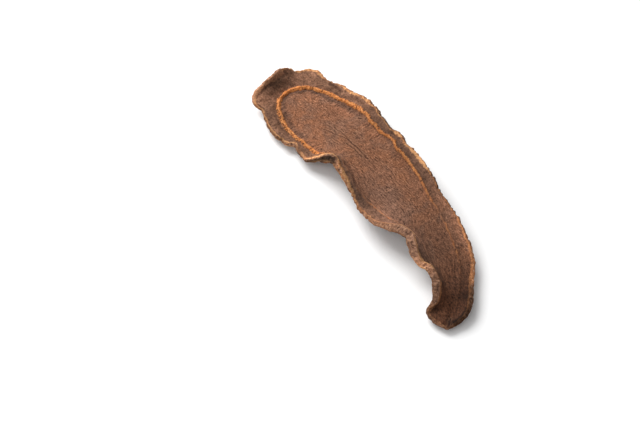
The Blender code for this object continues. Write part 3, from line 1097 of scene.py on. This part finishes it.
@dataclass
class FleshToneAndPaintedLight:
    """How dark, grey, chalky and bright each point of the skin is made: partly its own tones, partly painted
    shade, painted light and painted sheen.

    The plain numbers in its methods are places and widths in millimetres, and how strong each zone is.
    """

    layout: Layout
    places: np.ndarray
    numbers: Numbers
    upper_rows: int
    wall_rows: int

    def __post_init__(self) -> None:
        """Find which zones each point lies in."""
        self.x, self.y = x, y = self.places[..., 0], self.places[..., 1]
        self.ring_gap, self.edge_gap = self.numbers["ring_gap"], self.numbers["edge_gap"]
        self.wall = self.numbers["wall"] > 0.0
        rows, columns = np.indices(x.shape)
        self.arched = columns >= self.layout.per_side
        self.upper = rows <= self.upper_rows
        self.lower = rows > self.upper_rows + 0.5 * self.wall_rows
        self.crown = np.abs(rows - self.upper_rows - 1) < 3
        level = np.stack([x, y, np.full_like(x, 3.0)], axis=-1)
        self.blotches = wander(level, 9.0, Layer.BLOTCH)
        self.broad_end = spread(-18.0, -44.0, x)
        self.near_arches = spread(-3.0, -14.0, y)
        ring_side = hump(self.ring_gap + 2.1 + 0.6 * wander(level, 3.0, Layer.RING_SIDE), 1.1)
        self.inside = ring_side * self.broad_end * (1.0 - 0.4 * self.near_arches)
        bark_side = hump(self.ring_gap - 1.5, 1.7) * (1.0 - 0.7 * self.broad_end)
        self.outside = bark_side * ~self.wall * spread(58.0, 48.0, x)
        self.hollow = hump(self.edge_gap - 1.6, 3.0) * plateau(x, 22.0, 30.0, 38.0, 46.0)
        self.hollow = self.hollow * self.arched * self.upper
        self.margin = spread(-1.5, 1.5, self.ring_gap) * plateau(x, 14.0, 32.0, 42.0, 52.0)
        self.margin = self.margin * ~self.arched * self.upper

    def shade(self) -> np.ndarray:
        """How dark each point is made, as a factor on its colour: the flesh's own tones, with painted shade
        and painted light.

        Returns:
            1 where it is neither darker nor lighter than its kind of flesh.
        """
        along = np.interp(self.x, *np.array(DARKENING).T) ** (1.0 - 0.55 * self.wall)
        beside_ring = (1.0 - 0.36 * self.inside) * (1.0 - 0.2 * self.outside)
        # painted shade and painted light on the wall and rim, read from the table along the slice
        at_rim = 0.35 * spread(0.9, 0.2, self.edge_gap) + 0.65 * self.wall
        rim = self.layout.along(RIM_PAINTED_LIGHT_AND_SHADE) ** at_rim
        # painted light lifts the shadowed hollow inside the arches, and the plain side's margin is made
        # lighter
        hollow_light_and_margin = (1.0 + 0.9 * self.hollow) * (1.0 + 0.5 * self.margin)
        # painted light on the top of the first arch's wall
        first_arch_lit_edge = 1.0 + 2.3 * hump(self.x + 18.5, 5.0) * self.arched * self.crown
        # painted shade on the lower wall under the first arch
        first_arch_shadow = hump(self.x + 20.0, 7.0) * self.arched * self.lower * spread(4.0, 0.5, self.edge_gap)
        # a painted shadow along the rim of the plain side at the narrow tip
        tip = hump(self.edge_gap - 0.4, 0.6) * spread(62.0, 66.0, self.x) * ~self.arched * self.upper
        shade = along * beside_ring * rim * hollow_light_and_margin * first_arch_lit_edge * (1.0 + 0.1 * self.blotches)
        shade = shade * (1.0 - 0.6 * first_arch_shadow) * (1.0 - 0.8 * tip)
        # the patches: partly the flesh's own tone, partly painted shade and painted light
        for patch in PATCHES:
            shade = shade * patch.factor ** (patch.share(self.x, self.y) * self.upper)
        return shade

    def ash(self) -> np.ndarray:
        """How grey each point is made: partly the flesh's own grey, partly painted sheen in the fold near the
        middle and in the arches' hollow.

        Returns:
            From 0 to 1.
        """
        x = self.x
        folded = hump(x - 14.0, 16.0) * hump(self.y + 2.5, 7.0)
        ash = 0.85 * self.inside + 0.3 * self.outside
        ash = ash + 0.35 * np.maximum(self.blotches, 0.0) * spread(40.0, 20.0, x)
        ash = ash + 0.9 * folded + 0.5 * self.hollow - 0.4 * self.margin
        ash = ash + 0.4 * hump(x - 36.0, 12.0) * ~self.wall
        ash = ash - 0.5 * self.near_arches * self.broad_end * spread(0.0, 1.0, self.ring_gap)
        return np.clip(ash, 0.0, 1.0)

    def chalk(self) -> np.ndarray:
        """How chalky the edge is: along the turned-up strip and the arches.

        Returns:
            From 0 to 1.
        """
        x = self.x
        strip = spread(-58.0, -60.5, x) * spread(2.0, -2.0, self.y)
        arches = 0.5 * plateau(x, 4.0, 18.0, 47.0, 53.0) * (1.0 - hump(x - 43.5, 3.0))
        arches = arches + 0.5 * hump(x + 29.0, 6.0) + 0.6 * spread(57.0, 60.0, x)
        return self.arched * np.clip(strip + arches, 0.0, 1.0)

    def glow(self) -> np.ndarray:
        """How much brighter than elsewhere the ring and the lip are made, partly as painted highlight.

        Returns:
            0 where they are as elsewhere, and less where they are duller.
        """
        x, y = self.x, self.y
        plain_side = 0.26 * hump(x - 1.0, 6.0) - 0.14 * spread(7.0, 12.0, x)
        arched_side = sum(amount * hump(x - middle, width) for middle, width, amount in GLOW_ON_ARCHED_SIDE)
        both = 0.16 * self.near_arches * self.broad_end - 0.1 * spread(6.0, -4.0, y) * spread(2.0, -4.0, y)
        return both + np.where(self.arched, arched_side, plain_side)

    def tones(self) -> Numbers:
        """Put together what the finish reads.

        Returns:
            How dark each point is made, painted shade and painted light included, how grey, partly painted
            sheen, how near the darker narrow end, how bright its ring and lip, partly painted highlight, how
            unlike the pith its bark, how chalky its edge and how thin its wall.
        """
        bulk = self.layout.form.edge_bulk(self.layout.edge)
        return {
            "shade": self.shade(),
            "ash": self.ash(),
            "ripe": spread(38.0, 58.0, self.x),
            "glow": self.glow(),
            "husk": 1.0 - 0.75 * spread(2.0, 30.0, self.x),
            "chalk": self.chalk(),
            "thin": np.broadcast_to(1.0 - bulk, self.x.shape),
        }


@dataclass
class RhizomeSlice:
    """The slice's skin: both cut faces and the wall of the edge, as one closed mesh."""

    form: SliceForm = field(default_factory=SliceForm)
    relief: Relief = field(default_factory=Relief)
    painter: FleshPainter = field(default_factory=FleshPainter)
    per_side: int = 450
    upper_rows: tuple[int, int, int] = (34, 10, 16)
    under_rows: tuple[int, int, int] = (16, 8, 10)
    wall_rows: int = 9
    merge_distance: float = 0.001

    def build(self) -> bpy.types.Object:
        """Model the slice and dress it.

        Returns:
            The finished piece.
        """
        layout = Layout(self.form, self.per_side)
        upper = self.face(layout, Side.UPPER, self.upper_rows)
        under = self.face(layout, Side.UNDER, self.under_rows)
        piece = self.rolled_sheet(layout, upper, under)
        self.close_and_smooth(piece)
        piece.data.materials.append(self.painter.material())
        return piece

    def face(self, layout: Layout, side: Side, rows: tuple[int, int, int]) -> Face:
        """Lay out one cut face.

        Args:
            layout: The edge and the middle line.
            side: Which face.
            rows: How many rows the pith, the ring and the bark take.

        Returns:
            The face.
        """
        shares = layout.shares(*rows)
        sheet, normals, outwards = layout.middle_sheet(shares)
        ring_gap = (shares - layout.crest) * layout.reach
        edge_gap = (1.0 - shares) * layout.reach
        numbers = {
            "ring_gap": ring_gap,
            "edge_gap": edge_gap,
            "ring": np.broadcast_to(layout.ring, shares.shape),
            "lip": np.broadcast_to(layout.lip, shares.shape),
            "wall": np.zeros(shares.shape),
        }
        flows = {"grain": self.grain(sheet, side), "spoke": self.spokes(layout, ring_gap)}
        numbers["crease_gap"], numbers["crease_stain"], depth = self.creases(sheet, side)
        swelling = self.relief_height(sheet, flows, numbers) - depth
        thick = layout.thickness(shares)
        peak = np.maximum(self.form.ring_peak(sheet[..., 0]) - thick, 0.0)
        thick = thick + peak * hump(ring_gap, self.relief.ring_half_width)
        across = -np.arange(shares.shape[1]) % shares.shape[1]
        swelling[0] = 0.5 * (swelling[0] + swelling[0][across])
        places = sheet + normals * (side.value * (0.5 * thick + swelling))[..., None]
        places += outwards * (self.fray(layout, edge_gap))[..., None]
        return Face(places, numbers, flows)

    def spokes(self, layout: Layout, ring_gap: np.ndarray) -> np.ndarray:
        """Places across and along the fibres that run straight into the ring."""
        x, y = (np.broadcast_to(layout.edge[:, k], ring_gap.shape) for k in (0, 1))
        return np.stack([x, y, ring_gap], axis=-1)

    def grain(self, sheet: np.ndarray, side: Side) -> np.ndarray:
        """Places along and across the fibres, which run lengthwise and swirl a little.

        Args:
            sheet: The points.
            side: Which face.

        Returns:
            Distance along, distance across and a layer that sets the two faces apart.
        """
        relief = self.relief
        depth, length = relief.swirl
        x, y = sheet[..., 0], sheet[..., 1]
        level = np.stack([x, y, np.full_like(x, relief.swirl_apart * side.value)], axis=-1)
        across = y + relief.bow * (x - relief.bow_middle) ** 2 + depth * wander(level, length)
        along = x + depth * wander(level, length, Layer.SWIRL)
        return np.stack([along, across, np.full_like(along, relief.fibres_apart * side.value)], axis=-1)

    def creases(self, sheet: np.ndarray, side: Side) -> tuple[np.ndarray, np.ndarray, np.ndarray]:
        """The cracks and folds of one face.

        Args:
            sheet: The points.
            side: Which face.

        Returns:
            Each point's distance to the nearest of them in that one's widths, how dark that one's line of
            painted shade is, and how deep the point lies.
        """
        relief = self.relief
        shift, length = relief.crease_wander
        shifts = [wander(sheet, length, layer) for layer in (Layer.CREASE_X, Layer.CREASE_Y)]
        flat = sheet[..., :2] + shift * np.stack(shifts, axis=-1)
        nearest = np.full(sheet.shape[:-1], relief.far_from_creases)
        painted_shade = np.zeros(nearest.shape)
        depth = np.zeros(nearest.shape)
        for crease in (crease for crease in CREASES if crease.side is side):
            away = crease.away(flat)
            depth = np.maximum(depth, crease.depth * hump(away, crease.width * relief.crease_widening))
            if crease.painted_shade > 0.0:
                painted_shade = np.where(away / crease.width < nearest, crease.painted_shade, painted_shade)
                nearest = np.minimum(nearest, away / crease.width)
        return nearest, painted_shade, depth

    def relief_height(self, sheet: np.ndarray, flows: Numbers,
                      numbers: Numbers) -> np.ndarray:
        """How far each point of a face stands proud of its plain thickness.

        Args:
            sheet: The points.
            flows: Places along and across the fibres.
            numbers: What the finish reads at each point.

        Returns:
            Millimetres.
        """
        relief = self.relief
        ring_gap, edge_gap = numbers["ring_gap"], numbers["edge_gap"]
        strength = numbers["ring"] * spread(*relief.ring_fades_at_edge, edge_gap)
        bark = spread(*relief.bark_begins, ring_gap)
        woody = hump(ring_gap, relief.ring_half_width) * strength
        spoked = spread(-relief.spoke_reach, -0.5 * relief.spoke_reach, ring_gap) * strength * (1.0 - bark)
        lengthwise = flows["grain"] / (relief.fibre_stretch, 1.0, 1.0)
        inwards = flows["spoke"] / (1.0, 1.0, relief.spoke_stretch)
        fibres = relief.fibres[0] * wander(lengthwise, relief.fibres[1])
        spokes = relief.spokes[0] * wander(inwards, relief.spokes[1])
        height = relief.dents[0] * wander(sheet, relief.dents[1], Layer.DENT)
        height = height + fibres * (1.0 - bark) * (1.0 - spoked) + spokes * spoked
        for (depth, length), layer, zone in (
            (relief.bark_wrinkles, Layer.BARK_WRINKLE, bark),
            (relief.bark_crumbs, Layer.BARK_CRUMB, bark),
            (relief.ring_lumps, Layer.RING_LUMP, woody),
        ):
            height = height + depth * wander(sheet, length, layer) * zone
        beside_ring = hump(np.abs(ring_gap) - relief.ring_groove_gap, relief.ring_groove_width)
        height = height - relief.ring_groove * strength * beside_ring
        lip = spread(relief.lip[1], 0.0, edge_gap)
        waves = relief.lip_height + wander(sheet, relief.lip_length, Layer.LIP)
        return height + relief.lip[0] * lip * waves

    def fray(self, layout: Layout, edge_gap: np.ndarray) -> np.ndarray:
        """How far the ragged edge shifts the points near it outwards.

        Args:
            layout: The edge.
            edge_gap: Distance in from the edge.

        Returns:
            Millimetres.
        """
        relief = self.relief
        edge = np.column_stack([layout.edge[:, :2], np.zeros(len(layout.edge))])
        shift = relief.fray[0] * wander(edge, relief.fray[1], Layer.FRAY)
        nicks = np.minimum(wander(edge, relief.nicks[1], Layer.NICK) + relief.nick_rarity, 0.0)
        return (shift + relief.nicks[0] * nicks) * spread(relief.fray_reach, 0.0, edge_gap)

    def wall(self, layout: Layout, upper: Face, under: Face) -> Face:
        """Lay out the wall between the two faces' edges.

        Args:
            layout: The edge.
            upper: The upper face.
            under: The face below.

        Returns:
            The wall.
        """
        relief = self.relief
        top, foot = upper.places[-1], under.places[-1]
        out = unit(0.5 * (upper.places[-1] - upper.places[-3]) + 0.5 * (under.places[-1] - under.places[-3]))
        share = (np.arange(self.wall_rows) + 1.0)[:, None] / (self.wall_rows + 1.0)
        height = np.linalg.norm(top - foot, axis=-1)
        down = share * height
        slanted = layout.edge[:, :2] + layout.ahead * (relief.wall_slant * down)[..., None]
        ribs = np.dstack([slanted, relief.wall_rib_stretch * down])
        crumbs = np.dstack([slanted, down])
        rough = relief.wall_ribs[0] * wander(ribs, relief.wall_ribs[1], Layer.WALL_RIB)
        rough = rough + relief.wall_crumbs[0] * wander(crumbs, relief.wall_crumbs[1], Layer.WALL_CRUMB)
        round_off = np.sqrt(np.clip(4.0 * share * (1.0 - share), 0.0, 1.0))
        proud = round_off * (relief.wall_bulge * height + rough)
        places = top + (foot - top) * share[..., None] + out * proud[..., None]
        nothing = np.zeros(down.shape)
        numbers = {
            "ring_gap": nothing + layout.edge[:, 3],
            "edge_gap": nothing,
            "ring": nothing,
            "lip": nothing,
            "wall": np.minimum(down, height - down),
            "crease_gap": nothing + relief.far_from_creases,
            "crease_stain": nothing,
        }
        return Face(places, numbers, {"grain": ribs, "spoke": ribs})

    def rolled_sheet(self, layout: Layout, upper: Face, under: Face) -> bpy.types.Object:
        """Wrap one grid round the slice, from the upper middle line over the edge to the lower one.

        Args:
            layout: The edge.
            upper: The upper face.
            under: The face below.

        Returns:
            The grid as an object, its seams still open.
        """
        wall = self.wall(layout, upper, under)
        places = np.vstack([upper.places, wall.places, under.places[::-1]])
        places[..., 2] = np.maximum(places[..., 2], 0.0)
        flat = places.reshape(-1, 3)
        middle = 0.5 * (flat.min(axis=0) + flat.max(axis=0))
        places = places - (middle[0], middle[1], 0.0)
        numbers, flows = (
            {name: np.vstack([kept[name], wall_kept[name], under_kept[name][::-1]]) for name in kept}
            for kept, wall_kept, under_kept in (
                (upper.numbers, wall.numbers, under.numbers),
                (upper.flows, wall.flows, under.flows),
            )
        )
        numbers.update(FleshToneAndPaintedLight(layout, places, numbers, sum(self.upper_rows), self.wall_rows).tones())
        return self.filled_grid(places, numbers, flows)

    def filled_grid(self, places: np.ndarray, numbers: Numbers,
                    flows: Numbers) -> bpy.types.Object:
        """Add a grid and bring each of its points to its place.

        Args:
            places: The points, a row for each row of the grid, in millimetres.
            numbers: What the finish reads at each.
            flows: The sets of places that its patterns follow.

        Returns:
            The object.
        """
        rows, columns = places.shape[0] - 1, places.shape[1]
        bpy.ops.object.select_all(action="DESELECT")
        bpy.ops.mesh.primitive_grid_add(x_subdivisions=columns, y_subdivisions=rows, size=2.0)
        piece = bpy.context.active_object
        piece.name = "rhizome_slice_flesh"
        mesh = piece.data
        mesh.name = piece.name
        start = np.empty(len(mesh.vertices) * 3)
        mesh.vertices.foreach_get("co", start)
        start = start.reshape(-1, 3)
        column = np.rint((start[:, 0] + 1.0) * 0.5 * columns).astype(int) % columns
        row = np.rint((start[:, 1] + 1.0) * 0.5 * rows).astype(int)
        mesh.vertices.foreach_set("co", (places[row, column] * MM).ravel())
        for name, values in numbers.items():
            mesh.attributes.new(name, "FLOAT", "POINT").data.foreach_set("value", values[row, column])
        for name, values in flows.items():
            vectors = values[row, column].ravel()
            mesh.attributes.new(name, "FLOAT_VECTOR", "POINT").data.foreach_set("vector", vectors)
        mesh.update()
        return piece

    def close_and_smooth(self, piece: bpy.types.Object) -> None:
        """Join the seams, turn every face outwards and shade the skin smooth.

        Args:
            piece: The open grid.
        """
        bpy.context.view_layer.objects.active = piece
        piece.select_set(True)
        bpy.ops.object.mode_set(mode="EDIT")
        bpy.ops.mesh.select_all(action="SELECT")
        bpy.ops.mesh.remove_doubles(threshold=self.merge_distance * MM)
        bpy.ops.mesh.normals_make_consistent(inside=False)
        bpy.ops.object.mode_set(mode="OBJECT")
        bpy.ops.object.shade_smooth()


@dataclass
class Studio:
    """A white floor, soft light and the camera."""

    target: Vector = field(default_factory=lambda: Vector((1.9, -24.7, 5.0)) * MM)
    azimuth: float = 60.0
    elevation: float = 50.0
    distance: float = 0.646
    lens: float = 100.0
    sensor: float = 36.0
    floor_size: float = 6.0
    floor_colour: Colour = (0.86, 0.86, 0.86)
    floor_roughness: float = 0.9
    sky: float = 0.46
    key_power: float = 8.6
    key_size: float = 0.6
    key_distance: float = 0.8
    key_from: Triple = (-0.70, -0.08, 0.70)
    fill_power: float = 2.2
    fill_size: float = 0.8
    fill_from: Triple = (0.1, -0.8, 0.6)

    def build(self) -> None:
        """Set up everything round the slice."""
        self.floor()
        self.light("key", self.key_from, self.key_power, self.key_size)
        self.light("fill", self.fill_from, self.fill_power, self.fill_size)
        self.surroundings()
        self.camera()

    def floor(self) -> None:
        """Lay the floor."""
        bpy.ops.object.select_all(action="DESELECT")
        bpy.ops.mesh.primitive_plane_add(size=self.floor_size)
        floor = bpy.context.active_object
        floor.name = "floor"
        paint = Paint("floor_white")
        paint.feed(paint.shader.inputs["Base Color"], self.floor_colour)
        paint.shader.inputs["Roughness"].default_value = self.floor_roughness
        floor.data.materials.append(paint.material)

    def light(self, name: str, direction: Triple, power: float, size: float) -> None:
        """Hang a soft square light.

        Args:
            name: The light's name.
            direction: Where it hangs, from the slice.
            power: Its power in watts.
            size: The length of its side.
        """
        lamp = bpy.data.lights.new(name, "AREA")
        lamp.energy = power
        lamp.size = size
        holder = bpy.data.objects.new(name, lamp)
        bpy.context.scene.collection.objects.link(holder)
        away = Vector(direction).normalized()
        turn = away.to_track_quat("Z", "Y").to_matrix().to_4x4()
        holder.matrix_world = Matrix.Translation(away * self.key_distance) @ turn

    def surroundings(self) -> None:
        """Light everything evenly from around, and show colours as they are."""
        world = bpy.data.worlds.new("white_room")
        world.use_nodes = True
        background = world.node_tree.nodes["Background"]
        background.inputs["Color"].default_value = (1.0, 1.0, 1.0, 1.0)
        background.inputs["Strength"].default_value = self.sky
        bpy.context.scene.world = world
        bpy.context.scene.view_settings.view_transform = "Standard"

    def camera(self) -> None:
        """Place the camera where the portrait is taken from."""
        lens = bpy.data.cameras.new("camera")
        lens.lens = self.lens
        lens.sensor_width = self.sensor
        holder = bpy.data.objects.new("camera", lens)
        bpy.context.scene.collection.objects.link(holder)
        turn, tilt = math.radians(self.azimuth), math.radians(self.elevation)
        back = Vector((math.sin(turn) * math.cos(tilt), -math.cos(turn) * math.cos(tilt), math.sin(tilt)))
        place = Matrix.Translation(self.target + back * self.distance)
        holder.matrix_world = place @ back.to_track_quat("Z", "Y").to_matrix().to_4x4()
        bpy.context.scene.camera = holder


def attach(piece: bpy.types.Object) -> None:
    """Tell the frame what the piece stands for.

    Args:
        piece: The finished slice.
    """
    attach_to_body(piece, BODY)
    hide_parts(NODE)


def main() -> None:
    """Build the slice and its studio."""
    logging.basicConfig(level=logging.INFO, format="%(message)s")
    piece = RhizomeSlice().build()
    attach(piece)
    log.info("%s: %d faces", piece.name, len(piece.data.polygons))
    Studio().build()
    log.info("studio: floor, two lights, camera")


if __name__ == "__main__":
    main()
